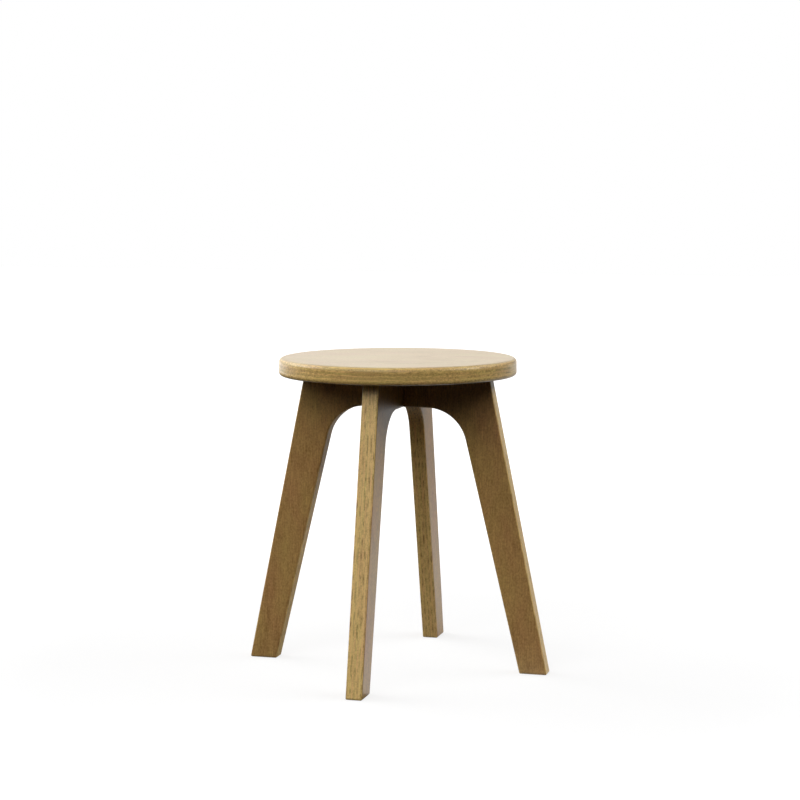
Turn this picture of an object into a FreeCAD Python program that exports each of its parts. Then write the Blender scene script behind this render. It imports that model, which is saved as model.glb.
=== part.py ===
import FreeCAD, Part
import math
import os

from FreeCAD import Vector

# A round plywood stool: a thick disc seat on two plywood arches that cross at right angles.
# Lengths are in millimetres and +Z is up. The origin is on the floor under the middle of the seat.
# The left and right legs stand along X, and the front and back legs along Y, with the front at -Y.

# Seat
seat_diameter = 350.0
seat_thickness = 25.5
seat_top_round = 6.5
seat_bottom_round = 5.0

# Leg frames: each is one arch cut from a flat panel, two legs and the crossbar between them
panel_thickness = 24.0
frame_height = 435.5
foot_span = 458.6
foot_width = 41.1
top_span = 282.0
opening_top_width = 190.0
crossbar_depth = 47.0
arch_corner_radius = 60.0
frame_edge_round = 2.0

# Halved joint where the two crossbars pass through each other
lap_clearance = 0.1

# Grooved dowels that locate the seat on the top edges of the frames, two on each arm
dowel_diameter = 10.0
dowel_in_frame = 27.0
dowel_edge_distance = 26.0
dowel_spacing = 35.0
dowel_chamfer = 1.0
dowel_groove_radius = 0.5
dowel_groove_count = 12
dowel_clearance = 0.05
seat_above_dowel = 11.5

# Wood screws that go up through the crossbars into the seat, one on each arm
screw_diameter = 5.0
screw_core_diameter = 3.2
screw_shank_diameter = 3.6
screw_thread_length = 27.0
screw_thread_pitch = 2.25
screw_tip_length = 4.0
screw_head_diameter = 9.5
screw_head_height = 3.2
screw_head_chamfer = 1.0
screw_recess_length = 4.8
screw_recess_width = 1.1
screw_recess_depth = 1.9
screw_lap_distance = 20.0
screw_shank_clearance = 0.25
screw_pilot_clearance = 0.05
seat_above_screw = 8.5

# Counterbores for the screw heads, and the wooden plugs that close them
counterbore_depth = 18.0
screw_head_clearance = 1.25
plug_clearance = 0.05
plug_chamfer = 0.6

# Free depth left past the end of a dowel or a screw
hole_end_gap = 1.0

# Heights, lengths and places worked out from the sizes above
overall_height = frame_height + seat_thickness
soffit_height = frame_height - crossbar_depth
lap_height = soffit_height + crossbar_depth / 2
dowel_in_seat = seat_thickness - seat_above_dowel - hole_end_gap
dowel_hole_diameter = dowel_diameter + 2 * dowel_clearance
outer_dowel_out = top_span / 2 - dowel_edge_distance
dowel_places = [outer_dowel_out, outer_dowel_out - dowel_spacing]
screw_in_seat = seat_thickness - seat_above_screw - hole_end_gap
screw_length = crossbar_depth - counterbore_depth + screw_in_seat
screw_head_seat = soffit_height + counterbore_depth
screw_out = panel_thickness / 2 + screw_lap_distance
counterbore_diameter = screw_head_diameter + 2 * screw_head_clearance

# Directions of the arms, in degrees about Z from the right-hand one
both_ends = (0, 180)
all_arms = (0, 90, 180, 270)

origin = Vector(0, 0, 0)
up = Vector(0, 0, 1)


def cylinder(diameter, low, high, out=0.0):
    """An upright cylinder between two heights, its axis a distance out along X."""
    return Part.makeCylinder(diameter / 2, high - low, Vector(out, 0, low))


def turned(profile):
    """A solid turned about Z from (radius, height) points that start and end on the axis."""
    points = [Vector(radius, 0, height) for radius, height in profile]
    face = Part.Face(Part.makePolygon(points + points[:1]))
    return face.revolve(origin, up, 360)


def placed(shape, out, height):
    """A copy of a shape made on the Z axis, carried out along X and up."""
    copy = shape.copy()
    copy.translate(Vector(out, 0, height))
    return copy


def swung(shape, degrees):
    """A copy of a shape swung round the stool's upright axis."""
    copy = shape.copy()
    copy.rotate(origin, up, degrees)
    return copy


def on_arms(shapes, arms):
    """Copies of the right-hand arm's shapes, one set for each arm."""
    return [swung(shape, degrees) for degrees in arms for shape in shapes]


def corner_arc(before, corner, after, radius):
    """Start, middle and end of the arc that rounds the corner between two straight lines."""
    back = (before - corner).normalize()
    ahead = (after - corner).normalize()
    half_angle = back.getAngle(ahead) / 2
    setback = radius / math.tan(half_angle)
    inward = (back + ahead).normalize()
    middle = corner + inward * (radius / math.sin(half_angle) - radius)
    return corner + back * setback, middle, corner + ahead * setback


def mirrored(point):
    """The same point on the other side of the arch."""
    return Vector(-point.x, point.y, point.z)


def lines_through(points):
    """Straight edges that join points in order."""
    return [Part.makeLine(start, end) for start, end in zip(points, points[1:])]


def arch_outline():
    """The closed outline of an arch that stands along X, on the panel's near face."""

    def at(x, z):
        return Vector(x, -panel_thickness / 2, z)

    top = at(top_span / 2, frame_height)
    foot_outside = at(foot_span / 2, 0)
    foot_inside = at(foot_span / 2 - foot_width, 0)
    opening_corner = at(opening_top_width / 2, soffit_height)
    opening_middle = at(0, soffit_height)
    start, middle, end = corner_arc(foot_inside, opening_corner, opening_middle, arch_corner_radius)

    top_and_right_leg = lines_through([mirrored(top), top, foot_outside, foot_inside, start])
    right_arc = Part.Arc(start, middle, end).toShape()
    soffit = Part.makeLine(end, mirrored(end))
    left_arc = Part.Arc(mirrored(end), mirrored(middle), mirrored(start)).toShape()
    left_leg = lines_through([mirrored(point) for point in (start, foot_inside, foot_outside, top)])
    return Part.Wire(top_and_right_leg + [right_arc, soffit, left_arc] + left_leg)


def eased_edges(panel):
    """The edges of both faces and the corners of the feet, but none on top, where the seat rests."""

    def is_eased(edge):
        ends = [vertex.Z for vertex in edge.Vertexes]
        crosses_panel = abs(edge.CenterOfMass.y) < panel_thickness / 4
        if crosses_panel:
            return max(ends) < frame_edge_round
        return min(ends) < lap_height

    return [edge for edge in panel.Edges if is_eased(edge)]


def arch_panel():
    """A whole arch along X, with eased edges, before its joints are cut."""
    panel = Part.Face(arch_outline()).extrude(Vector(0, panel_thickness, 0))
    return panel.makeFillet(frame_edge_round, eased_edges(panel))


def lap_slot(low, high):
    """The block that makes room for the other crossbar between two heights."""
    width = panel_thickness + 2 * lap_clearance
    corner = Vector(-width / 2, -panel_thickness, low)
    return Part.makeBox(width, 2 * panel_thickness, high - low, corner)


def frame_holes():
    """Dowel holes, screw hole and counterbore of a frame's right-hand arm."""
    dowel_floor = frame_height - dowel_in_frame
    shank_hole_diameter = screw_diameter + 2 * screw_shank_clearance
    holes = [cylinder(dowel_hole_diameter, dowel_floor, overall_height, out) for out in dowel_places]
    holes.append(cylinder(shank_hole_diameter, 0, overall_height, screw_out))
    holes.append(cylinder(counterbore_diameter, 0, screw_head_seat, screw_out))
    return holes


def leg_frame(slot):
    """One arch along X with its lap slot, dowel holes and screw holes."""
    return arch_panel().cut([slot] + on_arms(frame_holes(), both_ends))


def seat_holes():
    """The blind dowel holes and the screw's pilot hole above the right-hand arm."""
    dowel_hole_top = frame_height + dowel_in_seat + hole_end_gap
    pilot_top = frame_height + screw_in_seat + hole_end_gap
    pilot_diameter = screw_diameter + 2 * screw_pilot_clearance
    holes = [cylinder(dowel_hole_diameter, 0, dowel_hole_top, out) for out in dowel_places]
    holes.append(cylinder(pilot_diameter, 0, pilot_top, screw_out))
    return holes


def rim(disc, choose):
    """The round edge of a disc at the height that choose picks, max or min."""
    rims = [edge for edge in disc.Edges if edge.Closed]
    return choose(rims, key=lambda edge: edge.CenterOfMass.z)


def seat():
    """The round seat with its two rounded rims and its blind holes."""
    disc = cylinder(seat_diameter, frame_height, overall_height)
    disc = disc.makeFillet(seat_top_round, [rim(disc, max)])
    disc = disc.makeFillet(seat_bottom_round, [rim(disc, min)])
    return disc.cut(on_arms(seat_holes(), all_arms))


def dowel():
    """A grooved dowel on the Z axis, from its lower end upwards."""
    radius = dowel_diameter / 2
    length = dowel_in_frame + dowel_in_seat
    end_radius = radius - dowel_chamfer
    body = turned([(0, 0), (end_radius, 0), (radius, dowel_chamfer),
                   (radius, length - dowel_chamfer), (end_radius, length), (0, length)])
    groove = cylinder(2 * dowel_groove_radius, 0, length, radius)
    step = 360 / dowel_groove_count
    return body.cut([swung(groove, step * turn) for turn in range(dowel_groove_count)])


def screw_thread():
    """Profile points of the thread, from the end of the plain shank to the start of the tip."""
    start = screw_length - screw_thread_length
    turns = int((screw_thread_length - screw_tip_length) / screw_thread_pitch)
    points = []
    for turn in range(turns):
        root = start + turn * screw_thread_pitch
        points.append((screw_core_diameter / 2, root))
        points.append((screw_diameter / 2, root + screw_thread_pitch / 2))
    return points + [(screw_core_diameter / 2, start + turns * screw_thread_pitch)]


def screw():
    """A wood screw on the Z axis, point up, with the underside of its head at height zero."""
    head = screw_head_diameter / 2
    shank = screw_shank_diameter / 2
    profile = [(0, -screw_head_height), (head - screw_head_chamfer, -screw_head_height),
               (head, screw_head_chamfer - screw_head_height), (head, 0), (shank, 0),
               (shank, screw_length - screw_thread_length)]
    body = turned(profile + screw_thread() + [(0, screw_length)])
    corner = Vector(-screw_recess_length / 2, -screw_recess_width / 2, -screw_head_height)
    recess = Part.makeBox(screw_recess_length, screw_recess_width, screw_recess_depth, corner)
    return body.cut([recess, swung(recess, 90)])


def plug():
    """A turned plug on the Z axis, its flat face at height zero and its eased end above."""
    radius = counterbore_diameter / 2 - plug_clearance
    length = counterbore_depth - screw_head_height
    return turned([(0, 0), (radius, 0), (radius, length - plug_chamfer),
                   (radius - plug_chamfer, length), (0, length)])


def write(node, shape):
    """Saves one sub-part and prints what it holds."""
    shape.exportStep("parts/" + node + ".step")
    print(node, len(shape.Solids), "solids", round(shape.Volume / 1000, 2), "cm3", shape.isValid())


os.makedirs("parts", exist_ok=True)

# The left and right frame is slotted from below and drops over the front and back frame.
slot_from_below = lap_slot(soffit_height - panel_thickness, lap_height + lap_clearance)
slot_from_above = lap_slot(lap_height, overall_height)
write("left_right_leg_frame", leg_frame(slot_from_below))
write("front_back_leg_frame", swung(leg_frame(slot_from_above), 90))
write("seat", seat())

arm_dowels = [placed(dowel(), out, frame_height - dowel_in_frame) for out in dowel_places]
write("seat_dowels", Part.makeCompound(on_arms(arm_dowels, all_arms)))

arm_screw = placed(screw(), screw_out, screw_head_seat)
write("seat_screws", Part.makeCompound(on_arms([arm_screw], all_arms)))

arm_plug = placed(plug(), screw_out, soffit_height)
write("screw_hole_plugs", Part.makeCompound(on_arms([arm_plug], all_arms)))
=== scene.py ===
import functools
import math
import operator
from collections import namedtuple

import bpy
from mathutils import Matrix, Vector


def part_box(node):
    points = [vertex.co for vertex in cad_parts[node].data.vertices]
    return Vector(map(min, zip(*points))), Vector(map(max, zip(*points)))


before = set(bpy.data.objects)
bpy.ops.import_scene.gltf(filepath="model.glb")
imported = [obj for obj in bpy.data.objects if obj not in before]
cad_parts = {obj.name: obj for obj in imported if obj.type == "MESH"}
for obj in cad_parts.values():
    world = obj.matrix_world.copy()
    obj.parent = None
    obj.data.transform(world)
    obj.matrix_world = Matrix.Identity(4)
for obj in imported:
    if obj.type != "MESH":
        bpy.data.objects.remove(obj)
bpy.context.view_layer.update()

# The looks of a round plywood stool: its materials, the studio round it and the camera.
# Lengths are in metres and angles in degrees. The front leg stands at -Y, and azimuths are counted
# from there towards +X.

# Camera, in the photograph's frame
image_width_px = 800
focal_length_px = 2114
sensor_width_mm = 36
camera_azimuth = 15.691
camera_distance = 3.1038
camera_height = 0.7309
camera_heading = 15.631
camera_pitch = 6.133

x_axis, y_axis, z_axis = 0, 1, 2

# Noise patterns: repeats to the metre along three axes, fineness of detail, and a shift that keeps
# one from following another. The axes of a veneer run along, across and through its grain.
patterns = {
    "slow sway": ((9, 9, 9), 2.0, 0.0),
    "quick sway": ((70, 70, 70), 2.0, 0.0),
    "streaks": ((4, 420, 420), 2.0, 0.0),
    "dashes": ((4, 520, 520), 1.0, 17.0),
    "specks": ((400, 400, 400), 3.0, 0.0),
    "patches": ((16, 16, 1), 2.0, 5.0),
    "growth": ((3.2, 13, 1), 1.2, 11.0),
    "growth ripple": ((40, 90, 1), 2.0, 0.0),
    "figure": ((5, 9, 1), 1.0, 23.0),
    "clouds": ((7, 16, 1), 2.0, 31.0),
    "mottle": ((110, 170, 1), 3.0, 43.0),
    "grit": ((300, 400, 1), 3.0, 61.0),
    "fibres": ((40, 430, 1), 2.0, 0.0),
    "pores": ((110, 1500, 1), 1.0, 57.0),
    "rubbing": ((60, 60, 60), 3.0, 71.0),
    "warmth": ((9, 22, 1), 2.0, 83.0),
    "turned bend": ((30, 30, 2), 2.0, 0.0),
    "turned fibres": ((900, 900, 30), 3.0, 0.0),
    "turned flecks": ((300, 300, 120), 1.0, 7.0),
    "turned piece": ((11, 11, 1), 0.0, 3.0),
    "zinc clouds": ((160, 160, 160), 3.0, 0.0),
    "zinc scuffs": ((1500, 1500, 400), 2.0, 9.0),
}

# The noise levels between which some patterns rise from nothing to a full mark
mark_levels = {
    "dashes": (0.05, 0.2),
    "figure": (-0.12, 0.15),
    "pores": (0.16, 0.26),
    "rubbing": (0.0, 0.16),
    "turned flecks": (0.12, 0.2),
}

# Plywood: the dark and the light end of each colour range
plywood_tones = {
    "frame": {
        "face": ((0.26, 0.134, 0.037), (0.56, 0.335, 0.115)),
        "edge": ((0.36, 0.21, 0.055), (0.82, 0.556, 0.20)),
    },
    "seat": {
        "face": ((0.435, 0.315, 0.16), (0.68, 0.54, 0.34)),
        "edge": ((0.38, 0.23, 0.066), (0.80, 0.55, 0.19)),
    },
}

# How much paler the crosswise plies are than the others, on the cut edges
frame_crosswise_shade = 0.20
seat_crosswise_shade = -0.22

# Plies: how far they sway from flat, and how far apart neighbours lie in the patterns
ply_count = 9
slow_sway = 0.0016
quick_sway = 0.0006
ply_shift = 3.7

# Cut edges: what each mark adds to their tone and relief, and how much single plies differ in tone
edge_tone = {"streaks": 2.8, "specks": 1.0, "patches": 0.3, "dashes": -0.2, "glue": -0.14}
edge_relief = {"streaks": 1.0, "dashes": -0.4, "glue": -0.3}
edge_middle_tone = 0.67
ply_shade = 0.05
streaks_lost_on_end_grain = 0.75
glue_from = (0.4, 0.5)
glue_patchiness = 4
shade_patchiness = 3

# Faces: what each mark adds to their tone, relief and roughness
face_tone = {"clouds": 0.6, "mottle": 0.6, "grit": 1.4, "fibres": 0.9, "figure": -0.22, "pores": -0.3}
face_relief = {"fibres": 1.0, "pores": -0.4}
uneven_roughness = {"grit": 0.12, "fibres": 0.15}
face_middle_tone = 0.6
growth_frequency = 82
growth_ripple = 0.025
hue_drift = 0.05

# How squarely a surface has to face across the panel to be one of its two faces
face_from = (0.45, 0.95)

# Arrises: how round they look, and what rubbed wear and a painted shade along them add to their tone
# and roughness
arris_softness = 0.004
arris_samples = 6
arris_from = (0.01, 0.12)
edge_wear_and_shade = {"rubbed": 0.2, "arris_shade_band": -0.1}
face_wear_and_shade = {"rubbed": 0.3, "arris_shade_band": -0.25}
rubbed_roughness = 0.08

# Gloss and relief
coat_roughness = 0.33
edge_roughness = {"frame": 0.43, "seat": 0.33}
relief_strength = 0.6
plywood_relief_depth = 0.00008
turned_relief_depth = 0.00006
zinc_relief_depth = 0.00002

# Turned wood of the dowels and plugs
plug_tones = ((0.36, 0.21, 0.075), (0.60, 0.39, 0.16))
dowel_tones = ((0.50, 0.33, 0.17), (0.70, 0.50, 0.29))
plug_ring_pitch = 0.0024
dowel_ring_pitch = 0.0017
ring_slant = 0.6
ring_shift = 0.023
ring_bend = 0.004
turned_tone = {"rings": 0.12, "fibres": 0.8, "piece": 0.9, "flecks": -0.2, "end": -0.15}
turned_middle_tone = 0.55
turned_roughness = coat_roughness + 0.12
turned_fibre_roughness = 0.2

# Zinc plating of the screws
zinc_tones = ((0.50, 0.48, 0.42), (0.78, 0.76, 0.69))
zinc_tone = {"clouds": 1.2, "scuffs": 0.5}
zinc_middle_tone = 0.6
zinc_roughness = 0.34
zinc_uneven_roughness = {"clouds": 0.25, "scuffs": 0.2}

# Broad lights: azimuth, elevation, focus, brightness, and the heights between which each begins.
# A light of brightness 1 looks as white as the background. A height is the sine of an elevation.
lights = {
    "front": (-8, 28, 9.0, 3.9, 0.14, 0.56),
    "right": (105, 5, 8.0, 19.0, 0.40, 0.56),
    "left": (-96, 20, 10.0, 6.8, 0.24, 0.34),
}

# Backdrop low behind the stool and to its left: the heights between which it ends above, and how
# far back it begins
backdrop_azimuth = 219
backdrop_focus = 1.9
backdrop_brightness = 1.35
backdrop_head = (0.43, 0.58)
backdrop_side = (-0.3, 0.2)

# Floor: what the camera sees of it, which glows a little less near the stool, and what it throws back
floor_size = 24.0
floor_gap = 0.0003
floor_seen_colour = 0.25
floor_seen_glow = (0.74, 1.0)
floor_seen_from = (0.5, 1.3)
floor_bounce_colour = 0.01

# What the stool's gloss shows of the floor: a white card that widens from the front leg towards the
# back right, a broad dim gleam round it that fades with it, and far off the foot of the backdrop
card_pivot = Vector((0, -0.2, 0))
card_azimuth = 150
card_spread = (0.85, 0.94)
card_brightness = 0.68
card_fades_from = (0.12, 4.4)
card_fade = 0.75
gleam_azimuth = 165
gleam_focus = 1.5
gleam_brightness = 0.42
backdrop_foot_brightness = 5.0
backdrop_foot_from = (3.0, 9.0)

# Blender's own numbers: the colour sockets of its mix node, and the hue that changes nothing
mix_low_input, mix_high_input, mix_output = 6, 7, 2
neutral_hue = 0.5

Ply = namedtuple("Ply", "number depth crosswise own_place")


class Value:
    """What a node gives out, with arithmetic that adds the nodes for it."""

    def __init__(self, tree, socket):
        self.tree = tree
        self.socket = socket

    def maths(self, operation, *others):
        numbers = dict(enumerate((self,) + others))
        node = add_node(self.tree, "ShaderNodeMath", numbers, operation=operation)
        return Value(self.tree, node.outputs[0])

    def __add__(self, other):
        return self.maths("ADD", other)

    def __sub__(self, other):
        return self.maths("SUBTRACT", other)

    def __mul__(self, other):
        return self.maths("MULTIPLY", other)

    def complement(self):
        """One less this."""
        return self * -1 + 1

    def step(self, low, high):
        """Goes smoothly from 0 at the low value to 1 at the high one."""
        inputs = {"Value": self, "From Min": low, "From Max": high}
        node = add_node(self.tree, "ShaderNodeMapRange", inputs, interpolation_type="SMOOTHSTEP")
        return Value(self.tree, node.outputs["Result"])

    def cone(self, centre, focus):
        """Goes from 1 in one direction towards 0 away from it."""
        return ((self.along(centre) - 1) * focus).maths("EXPONENT")

    def parts(self):
        """The three parts of a place or direction."""
        node = add_node(self.tree, "ShaderNodeSeparateXYZ", {0: self})
        return [Value(self.tree, output) for output in node.outputs]

    def moved(self, shift):
        """This place, moved."""
        node = add_node(self.tree, "ShaderNodeVectorMath", {0: self, 1: shift}, operation="ADD")
        return Value(self.tree, node.outputs[0])

    def distance_and_bearing(self):
        """How far this place lies from the middle, and in which direction."""
        length = add_node(self.tree, "ShaderNodeVectorMath", {0: self}, operation="LENGTH")
        bearing = add_node(self.tree, "ShaderNodeVectorMath", {0: self}, operation="NORMALIZE")
        return Value(self.tree, length.outputs["Value"]), Value(self.tree, bearing.outputs[0])

    def along(self, direction):
        """How far this place or direction reaches along another."""
        inputs = {0: self, 1: direction}
        node = add_node(self.tree, "ShaderNodeVectorMath", inputs, operation="DOT_PRODUCT")
        return Value(self.tree, node.outputs["Value"])

    def noise(self, pattern):
        """One of the noise patterns about 0, read at this place."""
        scale, detail, shift = patterns[pattern]
        inputs = {"Vector": self, "Scale": scale, "Location": (shift, shift, shift)}
        place = add_node(self.tree, "ShaderNodeMapping", inputs).outputs[0]
        inputs = {"Vector": Value(self.tree, place), "Scale": 1.0, "Detail": detail}
        node = add_node(self.tree, "ShaderNodeTexNoise", inputs)
        return Value(self.tree, node.outputs[0]) - 0.5

    def marks(self, pattern):
        """The marks that one of the noise patterns makes at this place, from 0 to 1."""
        return self.noise(pattern).step(*mark_levels[pattern])

    def turned(self, hue_turn):
        """This colour with its hue turned towards yellow by a fraction of the whole circle."""
        inputs = {"Color": self, "Hue": hue_turn + neutral_hue}
        node = add_node(self.tree, "ShaderNodeHueSaturation", inputs)
        return Value(self.tree, node.outputs[0])

    def blend(self, low, high):
        """The colour this far from one colour, at 0, to another, at 1."""
        inputs = {"Factor": self, mix_low_input: low, mix_high_input: high}
        node = add_node(self.tree, "ShaderNodeMix", inputs, data_type="RGBA")
        return Value(self.tree, node.outputs[mix_output])


def add_node(tree, kind, inputs, **settings):
    """Adds a node and feeds its inputs with plain values or with what other nodes give out."""
    node = tree.nodes.new(kind)
    for name, setting in settings.items():
        setattr(node, name, setting)
    for key, value in inputs.items():
        if isinstance(value, Value):
            tree.links.new(value.socket, node.inputs[key])
        else:
            node.inputs[key].default_value = value
    return node


def opaque(colour):
    """A colour with an alpha of 1."""
    return (*colour, 1.0)


def grey(level):
    """A colour with the same red, green and blue."""
    return opaque((level, level, level))


def joined(*parts):
    """A place made from three values."""
    tree = parts[0].tree
    node = add_node(tree, "ShaderNodeCombineXYZ", dict(enumerate(parts)))
    return Value(tree, node.outputs[0])


def weighed(values, weights):
    """The sum of the named values, each times its weight."""
    return functools.reduce(operator.add, [values[name] * weight for name, weight in weights.items()])


def new_material(name):
    """A node material, with the place and the surface's direction at each point."""
    material = bpy.data.materials.new(name)
    material.use_nodes = True
    tree = material.node_tree
    here = add_node(tree, "ShaderNodeTexCoord", {})
    return material, Value(tree, here.outputs["Object"]), Value(tree, here.outputs["Normal"])


def squareness(normal):
    """How squarely a surface faces along each axis, from 0 to 1."""
    return [part * part for part in normal.parts()]


def softened(tree):
    """The surface's direction with its arrises softened."""
    node = add_node(tree, "ShaderNodeBevel", {"Radius": arris_softness}, samples=arris_samples)
    return Value(tree, node.outputs["Normal"])


def finish_surface(material, colour, roughness, relief, relief_depth, smooth=None):
    """Gives the material its colour, roughness and relief, and returns its shader."""
    tree = material.node_tree
    shader = tree.nodes["Principled BSDF"]
    inputs = {"Height": relief, "Strength": relief_strength, "Distance": relief_depth}
    if smooth:
        inputs["Normal"] = smooth
    bump = add_node(tree, "ShaderNodeBump", inputs)
    tree.links.new(colour.socket, shader.inputs["Base Color"])
    tree.links.new(roughness.socket, shader.inputs["Roughness"])
    tree.links.new(bump.outputs["Normal"], shader.inputs["Normal"])
    return shader


def third_axis(one, other):
    """The axis that is neither of two."""
    return x_axis + y_axis + z_axis - one - other


def plies(place, node_name, across, along):
    """The ply at each place: its number, how deep within it, whether it lies crosswise, and its own
    place, which is along its grain, across its grain and through it."""
    low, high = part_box(node_name)
    coordinates = place.parts()
    through = coordinates[across]
    grain = coordinates[along]
    width = coordinates[third_axis(across, along)]

    sway = place.noise("slow sway") * slow_sway + place.noise("quick sway") * quick_sway
    layer = (through + sway - low[across]) * (ply_count / (high[across] - low[across]))
    number = layer.maths("FLOOR").maths("MAXIMUM", 0).maths("MINIMUM", ply_count - 1)
    crosswise = number.maths("FLOORED_MODULO", 2.0)
    turn = (width - grain) * crosswise
    own_place = joined(grain + turn, width - turn, through + number * ply_shift)
    return Ply(number, layer - number, crosswise, own_place)


def cut_edge(ply, end_grain, crosswise_shade):
    """Tone and relief of the cut edges: long streaks beside fibres, specks on their ends."""
    here = ply.own_place
    beside = end_grain * -streaks_lost_on_end_grain + 1
    patches = here.noise("patches")
    glue_line = (ply.depth - 0.5).maths("ABSOLUTE").step(*glue_from)
    values = {
        "streaks": here.noise("streaks") * beside,
        "dashes": here.marks("dashes") * beside,
        "specks": here.noise("specks"),
        "patches": patches,
        "glue": glue_line * (patches * glue_patchiness + 1),
    }
    shade = ply.crosswise * crosswise_shade * (patches * shade_patchiness + 1)
    shade = shade + ply.number.maths("SINE") * ply_shade
    tone = shade + weighed(values, edge_tone) + edge_middle_tone
    return tone, weighed(values, edge_relief)


def veneer(here):
    """Tone, relief and uneven roughness of a face: growth lines that loop where the log was peeled,
    clouds, mottle, grit, fibres and pores."""
    growth = here.noise("growth") + here.noise("growth ripple") * growth_ripple
    lines = (growth * growth_frequency).maths("SINE") * 0.5 + 0.5
    values = {name: here.noise(name) for name in ("clouds", "mottle", "grit", "fibres")}
    values["figure"] = lines * lines * here.marks("figure")
    values["pores"] = here.marks("pores")
    tone = weighed(values, face_tone) + face_middle_tone
    return tone, weighed(values, face_relief), weighed(values, uneven_roughness)


def plywood(node_name, across, along, kind, crosswise_shade):
    """Plywood of a panel that is thin along one axis, with the grain of its faces along another."""
    material, place, normal = new_material(node_name + "_plywood")
    ply = plies(place, node_name, across, along)
    facing = squareness(normal)
    face = facing[across].step(*face_from)
    end_grain = facing[along] + (facing[third_axis(across, along)] - facing[along]) * ply.crosswise

    # Arrises carry a painted shade that darkens a band along them, and here and there they are rubbed
    # pale and rougher
    smooth = softened(material.node_tree)
    arris_shade_band = smooth.along(normal).complement().step(*arris_from)
    rubbed = arris_shade_band * place.marks("rubbing")
    wear_and_shade = {"rubbed": rubbed, "arris_shade_band": arris_shade_band}

    on_edge, relief_on_edge = cut_edge(ply, end_grain, crosswise_shade)
    on_face, relief_on_face, unevenness = veneer(ply.own_place)
    tones = plywood_tones[kind]
    # The arris band's negative weight is painted shade; the rubbed patches are wear
    edge_colour = (on_edge + weighed(wear_and_shade, edge_wear_and_shade)).blend(*map(opaque, tones["edge"]))
    face_colour = (on_face + weighed(wear_and_shade, face_wear_and_shade)).blend(*map(opaque, tones["face"]))
    colour = face.blend(edge_colour, face_colour).turned(ply.own_place.noise("warmth") * hue_drift)

    roughness = face * (coat_roughness - edge_roughness[kind]) + edge_roughness[kind]
    roughness = roughness + unevenness + rubbed * rubbed_roughness
    relief = relief_on_face * face + relief_on_edge * face.complement()
    finish_surface(material, colour, roughness, relief, plywood_relief_depth, smooth)
    return material


def turned_wood(name, tones, ring_pitch):
    """Small turned wood with its grain upright and growth rings on its ends."""
    material, place, normal = new_material(name)
    x, y, _ = place.parts()
    bend = place.noise("turned bend") * ring_bend
    out = x + y * ring_slant + ring_shift + bend
    values = {
        "rings": (out * (2 * math.pi / ring_pitch)).maths("SINE"),
        "fibres": place.noise("turned fibres"),
        "piece": place.noise("turned piece"),
        "flecks": place.marks("turned flecks"),
        "end": squareness(normal)[z_axis],
    }
    colour = (weighed(values, turned_tone) + turned_middle_tone).blend(*map(opaque, tones))
    roughness = values["fibres"] * turned_fibre_roughness + turned_roughness
    relief = values["fibres"] - values["flecks"]
    finish_surface(material, colour, roughness, relief, turned_relief_depth)
    return material


def zinc(name):
    """Zinc-plated steel, a little clouded and scuffed."""
    material, place, _ = new_material(name)
    values = {"clouds": place.noise("zinc clouds"), "scuffs": place.noise("zinc scuffs")}
    colour = (weighed(values, zinc_tone) + zinc_middle_tone).blend(*map(opaque, zinc_tones))
    roughness = weighed(values, zinc_uneven_roughness) + zinc_roughness
    shader = finish_surface(material, colour, roughness, values["scuffs"], zinc_relief_depth)
    shader.inputs["Metallic"].default_value = 1.0
    return material


def dress(node_name, material):
    """Gives a node its material in every slot."""
    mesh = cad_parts[node_name].data
    mesh.materials.clear()
    mesh.materials.append(material)


def direction(azimuth, elevation):
    """The direction at an azimuth from the front and an elevation above the floor."""
    turn = math.radians(azimuth)
    rise = math.radians(elevation)
    return Vector((math.cos(rise) * math.sin(turn), -math.cos(rise) * math.cos(turn), math.sin(rise)))


def add_object(name, data):
    """A new object in the scene."""
    thing = bpy.data.objects.new(name, data)
    bpy.context.scene.collection.objects.link(thing)
    return thing


def add_camera():
    """The camera at the photograph's place."""
    camera_data = bpy.data.cameras.new("camera")
    camera_data.sensor_width = sensor_width_mm
    camera_data.lens = sensor_width_mm * focal_length_px / image_width_px
    camera = add_object("camera", camera_data)
    camera.location = direction(camera_azimuth, 0) * camera_distance + Vector((0, 0, camera_height))
    camera.rotation_mode = "QUATERNION"
    camera.rotation_quaternion = (-direction(camera_heading, camera_pitch)).to_track_quat("-Z", "Y")
    bpy.context.scene.camera = camera


def light_path(tree, *kinds):
    """1 for a ray of one of these kinds, and 0 for any other."""
    path = add_node(tree, "ShaderNodeLightPath", {})
    found = [Value(tree, path.outputs[kind]) for kind in kinds]
    return functools.reduce(lambda one, other: one.maths("MAXIMUM", other), found)


def add_world():
    """White where the camera looks, with broad lights and a bright backdrop for the stool."""
    world = bpy.data.worlds.new("studio")
    bpy.context.scene.world = world
    world.use_nodes = True
    tree = world.node_tree
    towards = Value(tree, add_node(tree, "ShaderNodeTexCoord", {}).outputs["Generated"])
    height = towards.parts()[z_axis]
    backdrop = towards.cone(direction(backdrop_azimuth, 0), backdrop_focus)
    behind = towards.parts()[y_axis].step(*backdrop_side)
    strength = backdrop * behind * height.step(*backdrop_head).complement() * backdrop_brightness
    for azimuth, elevation, focus, brightness, low, high in lights.values():
        light = towards.cone(direction(azimuth, elevation), focus) * height.step(low, high)
        strength = strength + light * brightness
    seen = light_path(tree, "Is Camera Ray", "Is Transmission Ray")
    strength = strength * seen.complement() + seen
    background = tree.nodes["Background"]
    background.inputs["Color"].default_value = (1, 1, 1, 1)
    tree.links.new(strength.socket, background.inputs["Strength"])


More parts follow.
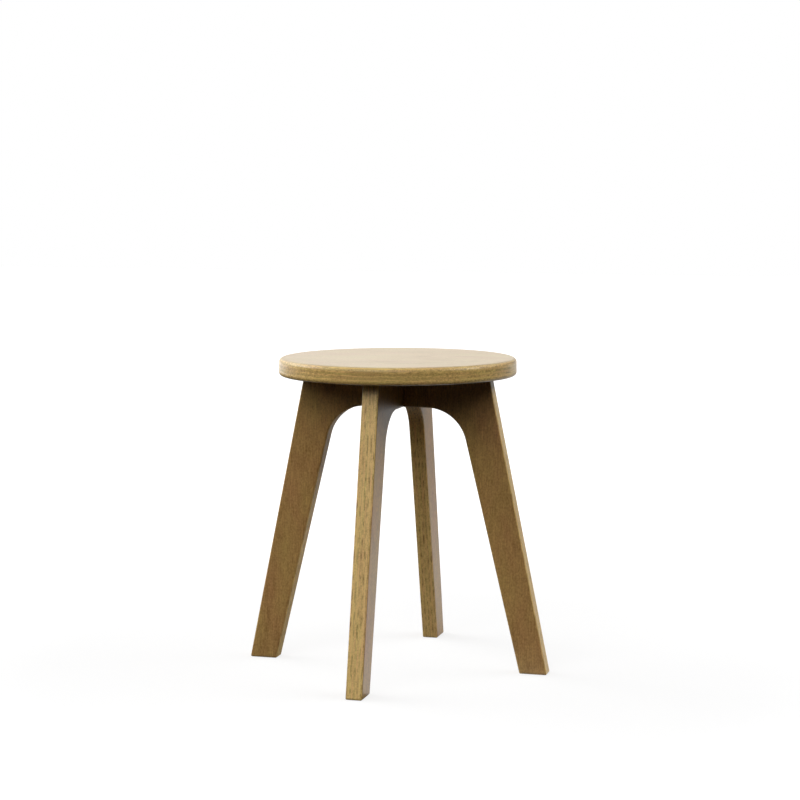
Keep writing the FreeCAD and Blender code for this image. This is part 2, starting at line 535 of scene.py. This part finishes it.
def mirrored_glow(place):
    """How brightly the floor glows in the stool's gloss."""
    distance, bearing = place.distance_and_bearing()
    card_distance, card_bearing = place.moved(-card_pivot).distance_and_bearing()
    card = card_bearing.along(direction(card_azimuth, 0)).step(*card_spread) * card_brightness
    gleam = card_bearing.cone(direction(gleam_azimuth, 0), gleam_focus) * gleam_brightness
    fading = card_distance.step(*card_fades_from) * -card_fade + 1
    foot = bearing.cone(direction(backdrop_azimuth, 0), backdrop_focus)
    foot = foot * distance.step(*backdrop_foot_from) * backdrop_foot_brightness
    return (card + gleam) * fading + foot


def floor_material():
    """A pale floor that shows white, keeps the stool's soft shadow and throws little light back up."""
    material, place, _ = new_material("floor")
    tree = material.node_tree
    seen = light_path(tree, "Is Camera Ray", "Is Transmission Ray")
    mirrored = light_path(tree, "Is Glossy Ray") * seen.complement()
    distance = place.distance_and_bearing()[0]
    near_glow, far_glow = floor_seen_glow
    seen_glow = distance.step(*floor_seen_from) * (far_glow - near_glow) + near_glow
    glow = seen * seen_glow + mirrored * mirrored_glow(place)
    colour = seen.blend(grey(floor_bounce_colour), grey(floor_seen_colour))

    shader = tree.nodes["Principled BSDF"]
    shader.inputs["Roughness"].default_value = 1.0
    shader.inputs["Specular IOR Level"].default_value = 0.0
    shader.inputs["Emission Color"].default_value = (1, 1, 1, 1)
    tree.links.new(colour.socket, shader.inputs["Base Color"])
    tree.links.new(glow.socket, shader.inputs["Emission Strength"])
    return material


def add_floor():
    """A wide square just below the feet."""
    mesh = bpy.data.meshes.new("floor")
    half = floor_size / 2
    corners = [(x * half, y * half, -floor_gap) for x, y in ((-1, -1), (1, -1), (1, 1), (-1, 1))]
    mesh.from_pydata(corners, [], [(0, 1, 2, 3)])
    mesh.materials.append(floor_material())
    add_object("floor", mesh)


for name, across, along, kind, shade in (
    ("left_right_leg_frame", y_axis, z_axis, "frame", frame_crosswise_shade),
    ("front_back_leg_frame", x_axis, z_axis, "frame", frame_crosswise_shade),
    ("seat", z_axis, x_axis, "seat", seat_crosswise_shade),
):
    dress(name, plywood(name, across, along, kind, shade))
dress("seat_dowels", turned_wood("dowel_beech", dowel_tones, dowel_ring_pitch))
dress("screw_hole_plugs", turned_wood("plug_wood", plug_tones, plug_ring_pitch))
dress("seat_screws", zinc("screw_zinc"))

add_camera()
add_world()
add_floor()
bpy.context.scene.view_settings.view_transform = "Standard"
